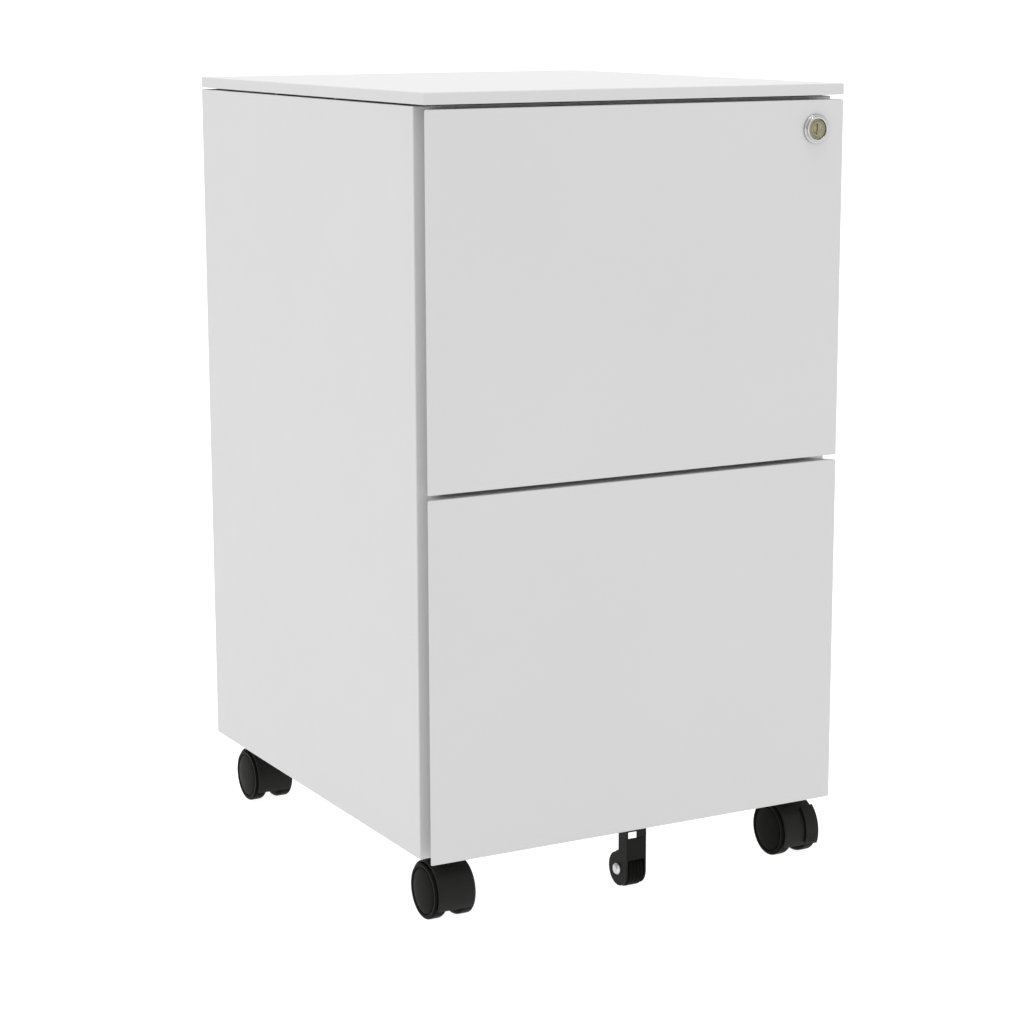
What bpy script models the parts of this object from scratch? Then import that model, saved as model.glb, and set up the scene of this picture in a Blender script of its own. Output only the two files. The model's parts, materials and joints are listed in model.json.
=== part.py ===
"""A two-drawer steel filing pedestal on castors, as the pieces it comes apart into.

Run it with blender --background --python part.py, or from Blender's text editor.
Lengths are metres and +Z is up. The drawers face -Y, and the origin is on the floor
under the middle of the cabinet.
"""

from math import acos, cos, hypot, pi, radians, sin, sqrt

import bmesh
import bpy
from mathutils import Matrix, Vector

# Overall size
WIDTH = 0.390
DEPTH = 0.450  # drawer fronts to back panel
HEIGHT = 0.670

# Sheet and clearances
SHEET = 0.0008
CONTACT = 0.0003  # left between pieces that touch
RUNNING = 0.0015  # left between a piece that moves and the case
WELD = 0.00001  # points this close are one

# Case
TOP_THICKNESS = 0.0095
SHADOW_GAP = 0.0015  # under the top, along the sides
PANEL_RIM = 0.015  # folded edge of the side and back panels
BASE_RECESS = 0.010  # depth of the base panel's folded rim
STIFFENER_WIDTH = 0.120
TOP_RAIL_DROP = 0.0125
TOP_RAIL_DEPTH = 0.036
MID_RAIL_HEIGHT = 0.0215
MID_RAIL_DEPTH = 0.012
POST_WIDTH = 0.025
POST_INSET = 0.016  # front and rear posts, from the slides' ends

# Drawer fronts
FRONT_DEPTH = 0.0175
GRIP_ANGLE = radians(45)  # slant of the fronts' side flanges
TOP_GAP = 0.0035
MIDDLE_GAP = 0.0038
LINER_DEPTH = 0.010

# Drawer trays and slides
TRAY_RISE = 0.018  # tray's floor above the drawer front's lower edge
TRAY_DROP = 0.0012  # tray's rim below the sweep of the lock's cam
TRAY_REAR_GAP = 0.0365  # behind the tray
SLIDE_REAR_GAP = 0.0285  # behind the slides
SLIDE_HEIGHT = 0.0457
SLIDE_WIDTH = 0.0127
SLIDE_SHEET = 0.0012
SLIDE_RISE = 0.035  # slide's middle above the tray's floor
BALL_GAP = 0.0014  # between nested slide members
SLIDE_SETBACK = 0.0025  # slide's front end behind the case's front

# Lock
LOCK_INSET = 0.028  # from the right edge of the upper drawer's front
LOCK_DROP = 0.024  # below its top edge
LOCK_PROUD = 0.0035
TRIM_RADIUS = 0.0122
TRIM_BEVEL = (0.0012, 0.0018)  # off the trim ring's radius and its height
BARREL_RADIUS = 0.0095
PLUG_RADIUS = 0.0082  # its head
PLUG_STEP = 0.0018  # from the head's radius to the body's
PLUG_SINK = 0.001  # plug's face behind the trim ring's
PLUG_HEAD = 0.0017
SPINDLE_RADIUS = 0.003
KEYWAY = (0.0022, 0.0095, 0.0045)  # width, height and depth
NUT_RADIUS = 0.0125
NUT_THICKNESS = 0.0025
CAM_THICKNESS = 0.002
CAM_WIDTH = 0.011
CAM_REACH = 0.022
CAM_OVERLAP = 0.002  # cam's tail over the lock bar's end

# Lock bar, which holds the lower drawer
BAR_THICKNESS = 0.002
BAR_STROKE = 0.008
FINGER_HEIGHT = 0.008
FINGER_START = 0.004  # finger's tip from the tray's side
CATCH_RISE = 0.094  # catch's middle above the tray's floor
CATCH_LENGTH = 0.020
BAR_GAP = 0.0015  # at the bar's sides, inside the stile

# Castors
CASTER_INSET = 0.026  # stem's axis from the side
CASTER_FRONT_INSET = 0.026  # from the case's front
CASTER_REAR_INSET = 0.035  # from the back
CASTER_TRAIL = 0.016  # axle ahead of the stem's axis
WHEEL_RADIUS = 0.0235
WHEEL_WIDTH = 0.0132
WHEEL_SIDES = 28  # facets, with a flat one down
WHEEL_SPACING = 0.0240  # between the middles of the two wheels
HOOD_CLEARANCE = 0.0006
HOOD_WALL = 0.0016
HOOD_SETBACK = 0.0020  # hood's sides inside the wheels' outer faces
HOOD_LIFT = 0.0115  # hood's lower edge above the floor
HOOD_REAR = (0.0078, 0.0059)  # hood's opening behind the axle: its start, and its top below it
HOOD_TOP_GAP = 0.0053  # between the hood and the case
NECK_RADIUS = 0.008
NECK_RISE = 0.012  # neck's lower end above the axle, inside the hood
NECK_GAP = 0.0012  # neck's top below the case's lower edge
PIN_RADIUS = 0.0035
PIN_END = 0.009  # pin's lower end above the axle
AXLE_RADIUS = 0.003
STEM_RADIUS = 0.005
COLLAR_RADIUS = 0.0085
STEM_ABOVE = 0.006  # stem's end above the base panel

# Brake lever, which rides round the hood of the front right castor
BRAKE_WALL = 0.0028
BRAKE_WIDTH = 0.013
BRAKE_LOW = radians(-20)  # its ends, up from level ahead of the axle
BRAKE_HIGH = radians(52)

# Stabilising wheel under the lower drawer
STABILISER_RADIUS = 0.0155
STABILISER_WIDTH = 0.014
STABILISER_LIFT = 0.0015
BRACKET_WIDTH = 0.0192
BRACKET_DEPTH = 0.0132
BRACKET_SHEET = 0.0016
BRACKET_INSET = 0.0025  # bracket's face behind the drawer front's
BRACKET_WEB_GAP = 0.0010  # web's lower edge above the wheel
LOBE_RADIUS = 0.0145
WINDOW = (0.015, 0.006)  # width and height of the hole in its web
BOLT_HEAD_RADIUS = 0.005
BOLT_HEAD = 0.003

# Where the main faces are. The lock stands proud of the fronts, and the whole is centred.
AXLE_Z = WHEEL_RADIUS * cos(pi / WHEEL_SIDES)
HOOD_RADIUS = WHEEL_RADIUS + HOOD_CLEARANCE + HOOD_WALL
CASE_BOTTOM = AXLE_Z + HOOD_RADIUS + HOOD_TOP_GAP
FRONT_Y = -DEPTH / 2 + LOCK_PROUD / 2
BACK_Y = FRONT_Y + DEPTH
CASE_Y = FRONT_Y + FRONT_DEPTH + RUNNING
SIDE_X = WIDTH / 2
INNER_X = SIDE_X - PANEL_RIM  # the case's clear half width
TOP_Z = HEIGHT - TOP_THICKNESS
SIDE_TOP_Z = TOP_Z - SHADOW_GAP
BASE_Z = CASE_BOTTOM + BASE_RECESS
FRONT_HEIGHT = (TOP_Z - TOP_GAP - MIDDLE_GAP - CASE_BOTTOM) / 2
FRONT_Z = {"lower": CASE_BOTTOM, "upper": CASE_BOTTOM + FRONT_HEIGHT + MIDDLE_GAP}
SLIDE_Y = CASE_Y + SLIDE_SETBACK
SLIDE_LENGTH = BACK_Y - SLIDE_REAR_GAP - SLIDE_Y
SLIDE_X = INNER_X - CONTACT
TRAY_X = SLIDE_X - SLIDE_WIDTH - CONTACT
TRAY_Y = FRONT_Y + FRONT_DEPTH + CONTACT
LOCK = Vector((SIDE_X - LOCK_INSET, FRONT_Y, FRONT_Z["upper"] + FRONT_HEIGHT - LOCK_DROP))
CAM_Y = CASE_Y + SHEET + RUNNING
BAR_X = INNER_X + BAR_GAP
BAR_WIDTH = PANEL_RIM - SHEET - 2 * BAR_GAP
CAM_TAIL = BAR_X - LOCK.x + CAM_OVERLAP
TAIL_RADIUS = hypot(CAM_TAIL, CAM_WIDTH / 2)
TAIL_SWEEP = sqrt(TAIL_RADIUS ** 2 - (BAR_X - LOCK.x) ** 2)
TRAY_TOP = FRONT_HEIGHT - LOCK_DROP - TAIL_RADIUS - TRAY_DROP  # above the front's lower edge
NECK_Z = CASE_BOTTOM - NECK_GAP
STABILISER_Y = FRONT_Y + BRACKET_INSET + LOBE_RADIUS

SIDES = {"left": -1, "right": 1}
TURNS = {"X": (pi / 2, 0, pi / 2), "Y": (pi / 2, 0, 0), "Z": (0, 0, 0)}
AXES = {"X": Vector((1, 0, 0)), "Y": Vector((0, 1, 0)), "Z": Vector((0, 0, 1))}

# name: colour, roughness, metallic
FINISHES = {
    "painted_steel": ((0.62, 0.62, 0.61), 0.45, 0.0),
    "zinc_steel": ((0.55, 0.56, 0.57), 0.35, 1.0),
    "chrome": ((0.80, 0.80, 0.80), 0.10, 1.0),
    "brass": ((0.60, 0.50, 0.30), 0.30, 1.0),
    "black_plastic": ((0.020, 0.020, 0.019), 0.40, 0.0),
    "black_steel": ((0.025, 0.025, 0.025), 0.45, 0.0),
    "tyre_rubber": ((0.030, 0.030, 0.028), 0.60, 0.0),
}


def clear_scene():
    """Remove every object of the scene that Blender starts with."""
    for obj in list(bpy.data.objects):
        bpy.data.objects.remove(obj)


def new_collection(name):
    """A collection of this name, linked to the scene."""
    collection = bpy.data.collections.new(name)
    bpy.context.scene.collection.children.link(collection)
    return collection


def new_material(name):
    """A Principled material with the finish of this name."""
    colour, roughness, metallic = FINISHES[name]
    material = bpy.data.materials.new(name)
    material.use_nodes = True
    shader = material.node_tree.nodes["Principled BSDF"]
    shader.inputs["Base Color"].default_value = (*colour, 1)
    shader.inputs["Roughness"].default_value = roughness
    shader.inputs["Metallic"].default_value = metallic
    return material


def joint(name, place, parent=None):
    """An empty on a joint's axis, which the moving pieces hang from."""
    empty = bpy.data.objects.new(name, None)
    empty.empty_display_size = 0.02
    PARTS.objects.link(empty)
    empty.location = place
    if parent:
        attach(empty, parent)
    return empty


def attach(obj, parent):
    """Parent an object and leave it where it is."""
    bpy.context.view_layer.update()
    obj.parent = parent
    obj.matrix_parent_inverse = parent.matrix_world.inverted()


def piece(obj, finish, parent=None):
    """Make an object a piece of the cabinet, with a finish and a joint to hang from."""
    CUTTERS.objects.unlink(obj)
    PARTS.objects.link(obj)
    obj.hide_render = False
    obj.display_type = "TEXTURED"
    obj.data.materials.clear()
    obj.data.materials.append(MATERIALS[finish])
    if parent:
        attach(obj, parent)
        for modifier in obj.modifiers:
            if modifier.type == "BOOLEAN":
                attach(modifier.object, obj)
    return obj


def tool(name, mesh):
    """A new object among the cutters, where it stays until piece() takes it out."""
    obj = bpy.data.objects.new(name, mesh)
    CUTTERS.objects.link(obj)
    obj.hide_render = True
    obj.display_type = "WIRE"
    return obj


def box(name, low, high):
    """A box between two opposite corners."""
    low, high = Vector(low), Vector(high)
    mesh = bpy.data.meshes.new(name)
    shape = bmesh.new()
    bmesh.ops.create_cube(shape, size=1)
    bmesh.ops.scale(shape, vec=high - low, verts=shape.verts)
    shape.to_mesh(mesh)
    shape.free()
    obj = tool(name, mesh)
    obj.location = (low + high) / 2
    return obj


def cylinder(name, radius, axis, middle, length, segments=24):
    """A round bar along an axis, about its middle, with one of its facets facing down."""
    mesh = bpy.data.meshes.new(name)
    shape = bmesh.new()
    bmesh.ops.create_cone(
        shape,
        cap_ends=True,
        segments=segments,
        radius1=radius,
        radius2=radius,
        depth=length,
        matrix=Matrix.Rotation(pi / segments, 4, "Z"),
    )
    shape.to_mesh(mesh)
    shape.free()
    mesh.shade_smooth()
    mesh.set_sharp_from_angle(angle=radians(40))
    obj = tool(name, mesh)
    obj.rotation_euler = AXES[axis].to_track_quat("Z", "Y").to_euler()
    obj.location = middle
    return obj


def turned(name, profile, axis, place, closed=False, steps=24):
    """A turned piece. The profile's (radius, along) points run against the axis outside."""
    mesh = bpy.data.meshes.new(name)
    shape = bmesh.new()
    points = [shape.verts.new((radius, 0, along)) for radius, along in profile]
    ends = points[1:] + points[:1] if closed else points[1:]
    for start, end in zip(points, ends):
        shape.edges.new((start, end))
    shape.to_mesh(mesh)
    shape.free()
    obj = tool(name, mesh)
    screw = obj.modifiers.new("turn", "SCREW")
    screw.steps = screw.render_steps = steps
    screw.use_merge_vertices = True
    screw.merge_threshold = WELD
    obj.rotation_euler = AXES[axis].to_track_quat("Z", "Y").to_euler()
    obj.location = place
    return obj


def extrusion(name, outline, axis, start, end):
    """A flat outline, drawn across an axis, run along it from start to end."""
    curve = bpy.data.curves.new(name, "CURVE")
    curve.dimensions = "2D"
    curve.fill_mode = "BOTH"
    curve.extrude = (end - start) / 2
    spline = curve.splines.new("POLY")
    spline.points.add(len(outline) - 1)
    spline.use_cyclic_u = True
    for point, (across, up) in zip(spline.points, outline):
        point.co = (across, up, 0, 1)
    drawn = bpy.data.objects.new(name, curve)
    CUTTERS.objects.link(drawn)
    graph = bpy.context.evaluated_depsgraph_get()
    mesh = bpy.data.meshes.new_from_object(drawn.evaluated_get(graph))
    bpy.data.objects.remove(drawn)
    shape = bmesh.new()
    shape.from_mesh(mesh)
    bmesh.ops.remove_doubles(shape, verts=shape.verts, dist=WELD)
    bmesh.ops.recalc_face_normals(shape, faces=shape.faces)
    shape.to_mesh(mesh)
    shape.free()
    obj = tool(name, mesh)
    obj.rotation_euler = TURNS[axis]
    obj.location = AXES[axis] * (start + end) / 2
    return obj


def folded(path, thickness):
    """The outline of a sheet folded along a path, with its thickness on the path's left."""
    path = [Vector(point) for point in path]
    ways = [(end - start).normalized() for start, end in zip(path, path[1:])]
    lefts = [Vector((-way.y, way.x)) for way in ways]
    before, after = [lefts[0]] + lefts, lefts + [lefts[-1]]
    far = [
        point + (one + other) * thickness / (1 + one.dot(other))
        for point, one, other in zip(path, before, after)
    ]
    return path + far[::-1]


def arc(middle, radius, start, end, steps=10):
    """Points round an arc, from one angle to another."""
    angles = (start + (end - start) * step / steps for step in range(steps + 1))
    return [(middle[0] + radius * cos(a), middle[1] + radius * sin(a)) for a in angles]


def cut(obj, cutter, operation="DIFFERENCE"):
    """Take a cutter out of an object, or join it on with UNION."""
    modifier = obj.modifiers.new(cutter.name, "BOOLEAN")
    modifier.operation = operation
    modifier.object = cutter
    return obj


def make_top():
    """The top: a shallow pan, and the channel in it that rests on the side panels."""
    top = box("top_panel", (-SIDE_X, FRONT_Y, TOP_Z), (SIDE_X, BACK_Y, HEIGHT))
    pocket = box(
        "cut_top_pocket",
        (-SIDE_X + SHEET, FRONT_Y + SHEET, TOP_Z - SHEET),
        (SIDE_X - SHEET, BACK_Y - SHEET, HEIGHT - SHEET),
    )
    piece(cut(top, pocket), "painted_steel")
    half = STIFFENER_WIDTH / 2
    low, high = SIDE_TOP_Z + CONTACT, HEIGHT - SHEET - CONTACT
    channel = [(half, low), (half, high), (-half, high), (-half, low)]
    reach = SIDE_X - SHEET - CONTACT
    piece(extrusion("top_stiffener", folded(channel, SHEET), "X", -reach, reach), "zinc_steel")


def make_side(side, sign):
    """A side panel: a pan whose folded rim faces the drawers. Its front rim is the stile."""
    outer, inner = sign * SIDE_X, sign * INNER_X
    name = "side_panel_" + side
    low, high = min(outer, inner), max(outer, inner)
    panel = box(name, (low, CASE_Y, CASE_BOTTOM), (high, BACK_Y, SIDE_TOP_Z))
    skin, past = sign * (SIDE_X - SHEET), sign * (INNER_X - SHEET)
    pocket = box(
        "cut_" + name,
        (min(skin, past), CASE_Y + SHEET, CASE_BOTTOM + SHEET),
        (max(skin, past), BACK_Y - SHEET, SIDE_TOP_Z - SHEET),
    )
    piece(cut(panel, pocket), "painted_steel")


def make_case():
    """Back, base and the two front rails, between the side panels."""
    reach = INNER_X - CONTACT
    rim = BACK_Y - PANEL_RIM
    back = [
        (rim, CASE_BOTTOM),
        (BACK_Y, CASE_BOTTOM),
        (BACK_Y, SIDE_TOP_Z),
        (rim, SIDE_TOP_Z),
    ]
    piece(extrusion("back_panel", folded(back, SHEET), "X", -reach, reach), "painted_steel")

    rear = rim - CONTACT
    base = box("base_panel", (-reach, CASE_Y, CASE_BOTTOM), (reach, rear, BASE_Z))
    pocket = box(
        "cut_base_pocket",
        (-reach + SHEET, CASE_Y + SHEET, CASE_BOTTOM - SHEET),
        (reach - SHEET, rear - SHEET, BASE_Z - SHEET),
    )
    cut(base, pocket)
    for corner, place in CASTERS.items():
        hole = cylinder(
            "cut_stem_" + corner,
            STEM_RADIUS + CONTACT,
            "Z",
            (place.x, place.y, BASE_Z),
            4 * SHEET,
        )
        cut(base, hole)
    piece(base, "painted_steel")

    end = CASE_Y + TOP_RAIL_DEPTH
    bottom = SIDE_TOP_Z - TOP_RAIL_DROP
    top_rail = [(end, SIDE_TOP_Z), (CASE_Y, SIDE_TOP_Z), (CASE_Y, bottom)]
    outline = folded(top_rail, SHEET)
    piece(extrusion("top_rail", outline, "X", -reach, reach), "painted_steel")

    end = CASE_Y + MID_RAIL_DEPTH
    middle = FRONT_Z["upper"] - MIDDLE_GAP / 2
    low, high = middle - MID_RAIL_HEIGHT / 2, middle + MID_RAIL_HEIGHT / 2
    mid_rail = [(end, high), (CASE_Y, high), (CASE_Y, low), (end, low)]
    outline = folded(mid_rail, SHEET)
    piece(extrusion("mid_rail", outline, "X", -reach, reach), "painted_steel")


def make_posts(side, sign):
    """The channels that carry the slides, screwed to the side panel at the front and rear."""
    inside = INNER_X + CONTACT
    outside = SIDE_X - SHEET - CONTACT
    starts = {
        "front": SLIDE_Y + POST_INSET,
        "rear": SLIDE_Y + SLIDE_LENGTH - POST_INSET - POST_WIDTH,
    }
    for end, start in starts.items():
        path = [
            (sign * outside, start),
            (sign * inside, start),
            (sign * inside, start + POST_WIDTH),
            (sign * outside, start + POST_WIDTH),
        ]
        outline = folded(path if sign < 0 else path[::-1], SLIDE_SHEET)
        low = CASE_BOTTOM + SHEET + CONTACT
        high = SIDE_TOP_Z - SHEET - CONTACT
        name = "slide_post_" + side + "_" + end
        piece(extrusion(name, outline, "Z", low, high), "zinc_steel")


def slide_section(sign, plate, lips, half):
    """A channel across Y, from its upright plate at one x to its lips' ends at another."""
    path = [(lips, -half), (plate, -half), (plate, half), (lips, half)]
    path = [(sign * x, z) for x, z in path]
    turns_left = sign * (plate - lips) > 0
    return folded(path if turns_left else path[::-1], SLIDE_SHEET)


def make_slide(level, side, sign, middle_joint, drawer_joint):
    """A ball-bearing slide: a member on the case, one between, and one on the drawer."""
    height = FRONT_Z[level] + TRAY_RISE + SLIDE_RISE
    half = SLIDE_HEIGHT / 2
    step = SLIDE_SHEET + BALL_GAP
    inside = SLIDE_X - SLIDE_WIDTH
    members = (
        ("outer", SLIDE_X, inside + BALL_GAP / 2, half, None),
        ("middle", SLIDE_X - step, inside + BALL_GAP, half - step, middle_joint),
        ("inner", inside, SLIDE_X - 2 * step, half - 2 * step, drawer_joint),
    )
    for member, plate, lips, reach, parent in members:
        outline = slide_section(sign, plate, lips, reach)
        outline = [(x, z + height) for x, z in outline]
        name = "slide_" + "_".join((member, level, side))
        slide = extrusion(name, outline, "Y", SLIDE_Y, SLIDE_Y + SLIDE_LENGTH)
        piece(slide, "zinc_steel", parent)


def trapezoid(inset):
    """The drawer front's level section, with its walls this far inside its outer faces."""
    lean = inset * (1 - sin(GRIP_ANGLE)) / cos(GRIP_ANGLE)
    front = FRONT_Y + inset
    wide = SIDE_X - inset - lean
    back = FRONT_Y + FRONT_DEPTH + (SHEET if inset else 0)
    narrow = wide - (back - front) * sin(GRIP_ANGLE) / cos(GRIP_ANGLE)
    return [(-wide, front), (wide, front), (narrow, back), (-narrow, back)]


def make_drawer(level, parent):
    """A drawer: its front skin with slanted grips, the liner behind it, and the tray."""
    low = FRONT_Z[level]
    high = low + FRONT_HEIGHT
    back = FRONT_Y + FRONT_DEPTH
    front = extrusion("drawer_front_" + level, trapezoid(0), "Z", low, high)
    inside = trapezoid(SHEET)
    name = "cut_front_" + level
    cut(front, extrusion(name, inside, "Z", low + SHEET, high - SHEET))

    reach = inside[2][0] - 2 * CONTACT
    gap = SHEET + CONTACT
    liner = box(
        "front_liner_" + level, (-reach, back - LINER_DEPTH, low + gap), (reach, back, high - gap)
    )
    name = "cut_liner_" + level
    cut(
        liner,
        box(
            name,
            (-reach + SHEET, back - LINER_DEPTH - SHEET, low + gap + SHEET),
            (reach - SHEET, back - SHEET, high - gap - SHEET),
        ),
    )
    if level == "upper":
        for obj in (front, liner):
            middle = LOCK + Vector((0, FRONT_DEPTH / 2, 0))
            name = "cut_lock_" + obj.name
            radius = BARREL_RADIUS + CONTACT
            cut(obj, cylinder(name, radius, "Y", middle, 2 * FRONT_DEPTH))
    piece(front, "painted_steel", parent)
    piece(liner, "painted_steel", parent)

    floor = low + TRAY_RISE
    top = low + TRAY_TOP
    rear = BACK_Y - TRAY_REAR_GAP
    tray = box("drawer_tray_" + level, (-TRAY_X, TRAY_Y, floor), (TRAY_X, rear, top))
    inside = box(
        "cut_tray_" + level,
        (-TRAY_X + SHEET, TRAY_Y + SHEET, floor + SHEET),
        (TRAY_X - SHEET, rear - SHEET, top + SHEET),
    )
    piece(cut(tray, inside), "painted_steel", parent)


def make_lock(drawer_joint, lock_joint):
    """The cam lock in the upper front: housing, nut, and the plug that turns the cam."""
    rear = CAM_Y - CONTACT - FRONT_Y  # along Y from the drawer front's face
    seat = PLUG_RADIUS + CONTACT
    body = PLUG_RADIUS - PLUG_STEP
    plug_face = PLUG_SINK - LOCK_PROUD
    shoulder = plug_face + PLUG_HEAD
    profile = [
        (TRIM_RADIUS - TRIM_BEVEL[0], -LOCK_PROUD),
        (seat, -LOCK_PROUD),
        (seat, shoulder + CONTACT),
        (body + CONTACT, shoulder + CONTACT),
        (body + CONTACT, rear - RUNNING / 2),
        (BARREL_RADIUS, rear - RUNNING / 2),
        (BARREL_RADIUS, -CONTACT),
        (TRIM_RADIUS, -CONTACT),
        (TRIM_RADIUS, TRIM_BEVEL[1] - LOCK_PROUD),
    ]
    housing = turned("lock_housing", profile, "Y", LOCK, closed=True)
    piece(housing, "chrome", drawer_joint)

    seat_y = FRONT_DEPTH + CONTACT
    nut = cylinder(
        "lock_nut",
        NUT_RADIUS,
        "Y",
        LOCK + Vector((0, seat_y + NUT_THICKNESS / 2, 0)),
        NUT_THICKNESS,
        segments=6,
    )
    hole_middle = LOCK + Vector((0, seat_y + NUT_THICKNESS / 2, 0))
    radius = BARREL_RADIUS + CONTACT
    cut(nut, cylinder("cut_lock_nut", radius, "Y", hole_middle, 2 * NUT_THICKNESS))
    piece(nut, "zinc_steel", drawer_joint)

    end = rear + CAM_THICKNESS + 3 * CONTACT
    profile = [
        (0, end),
        (SPINDLE_RADIUS, end),
        (SPINDLE_RADIUS, rear - CONTACT),
        (body, rear - CONTACT),
        (body, shoulder),
        (PLUG_RADIUS, shoulder),
        (PLUG_RADIUS, plug_face),
        (0, plug_face),
    ]
    plug = turned("lock_plug", profile, "Y", LOCK)
    width, height, depth = KEYWAY
    face = LOCK.y + plug_face
    cut(
        plug,
        box(
            "cut_keyway",
            (LOCK.x - width / 2, face - depth, LOCK.z - height / 2),
            (LOCK.x + width / 2, face + depth, LOCK.z + height / 2),
        ),
    )
    piece(plug, "brass", lock_joint)

    half = CAM_WIDTH / 2
    outline = [
        (LOCK.x - CAM_REACH, LOCK.z - half),
        (LOCK.x + CAM_TAIL, LOCK.z - half),
        (LOCK.x + CAM_TAIL, LOCK.z + half),
        (LOCK.x - CAM_REACH, LOCK.z + half),
    ]
    cam = extrusion("lock_cam", outline, "Y", CAM_Y, CAM_Y + CAM_THICKNESS)
    middle = LOCK + Vector((0, CAM_Y - LOCK.y, 0))
    radius = SPINDLE_RADIUS + CONTACT
    cut(cam, cylinder("cut_cam", radius, "Y", middle, 4 * CAM_THICKNESS))
    piece(cam, "zinc_steel", lock_joint)


def make_lock_bar(bar_joint, lower_drawer_joint):
    """The bar behind the right stile, and the catch it drops in front of."""
    front, rear = CAM_Y, CAM_Y + BAR_THICKNESS
    catch_z = FRONT_Z["lower"] + TRAY_RISE + CATCH_RISE
    low = catch_z - FINGER_HEIGHT / 2 - BAR_STROKE
    top = LOCK.z - TAIL_SWEEP - RUNNING
    finger_z = catch_z + FINGER_HEIGHT / 2 + RUNNING
    catch_x = SLIDE_X - RUNNING / 2
    finger_x = TRAY_X + FINGER_START
    bar = box("lock_bar", (BAR_X, front, low), (BAR_X + BAR_WIDTH, rear, top))
    finger = box(
        "join_finger",
        (finger_x, front, finger_z),
        (BAR_X + BAR_WIDTH / 2, rear, finger_z + FINGER_HEIGHT),
    )
    piece(cut(bar, finger, "UNION"), "zinc_steel", bar_joint)

    wall_x = TRAY_X + CONTACT
    tab_y = rear + RUNNING
    path = [(wall_x, tab_y + CATCH_LENGTH), (wall_x, tab_y), (catch_x, tab_y)]
    outline = folded(path, SLIDE_SHEET)
    low, high = catch_z - FINGER_HEIGHT / 2, catch_z + FINGER_HEIGHT / 2
    piece(extrusion("lock_catch", outline, "Z", low, high), "zinc_steel", lower_drawer_joint)


def make_stabiliser(drawer_joint, wheel_joint):
    """The small wheel under the lower drawer, in a bracket fixed to the drawer's front."""
    face = FRONT_Y + BRACKET_INSET
    axle = (STABILISER_Y, STABILISER_LIFT + STABILISER_RADIUS)
    top = CASE_BOTTOM - CONTACT
    half = BRACKET_WIDTH / 2
    back = face + BRACKET_DEPTH
    turn = 2 * pi + acos((back - axle[0]) / LOBE_RADIUS)
    outline = [(face, top)] + arc(axle, LOBE_RADIUS, pi, turn, 20) + [(back, top)]
    bracket = extrusion("stabiliser_bracket", outline, "X", -half, half)
    past = axle[0] + 2 * LOBE_RADIUS
    inner = half - BRACKET_SHEET
    roof = top - BRACKET_SHEET
    cut(bracket, box("cut_fork", (-inner, face + BRACKET_SHEET, -inner), (inner, past, roof)))
    web_end = axle[1] + STABILISER_RADIUS + BRACKET_WEB_GAP
    cut(bracket, box("cut_web", (-inner, face - BRACKET_SHEET, -inner), (inner, past, web_end)))
    width, height = WINDOW
    low = roof - height
    window = box(
        "cut_window",
        (-width / 2, face - BRACKET_SHEET, low),
        (width / 2, face + 2 * BRACKET_SHEET, low + height),
    )
    cut(bracket, window)
    hole = cylinder(
        "cut_bracket_axle", AXLE_RADIUS + CONTACT, "X", (0, *axle), 2 * BRACKET_WIDTH
    )
    piece(cut(bracket, hole), "black_steel", drawer_joint)

    make_wheel(
        "stabiliser_wheel", STABILISER_RADIUS, STABILISER_WIDTH, (0, *axle), wheel_joint
    )
    start = -half - CONTACT - BOLT_HEAD
    end = half + BOLT_HEAD / 2
    profile = [
        (0, end),
        (AXLE_RADIUS, end),
        (AXLE_RADIUS, start + BOLT_HEAD),
        (BOLT_HEAD_RADIUS, start + BOLT_HEAD),
        (BOLT_HEAD_RADIUS, start),
        (0, start),
    ]
    piece(turned("stabiliser_axle", profile, "X", (0, *axle)), "zinc_steel", drawer_joint)


def make_wheel(name, radius, width, middle, parent):
    """A wheel about X with a bore for its axle."""
    wheel = cylinder(name, radius, "X", middle, width, WHEEL_SIDES)
    bore = cylinder("cut_" + name, AXLE_RADIUS + CONTACT, "X", middle, 2 * width, 12)
    piece(cut(wheel, bore), "tyre_rubber", parent)


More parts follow.
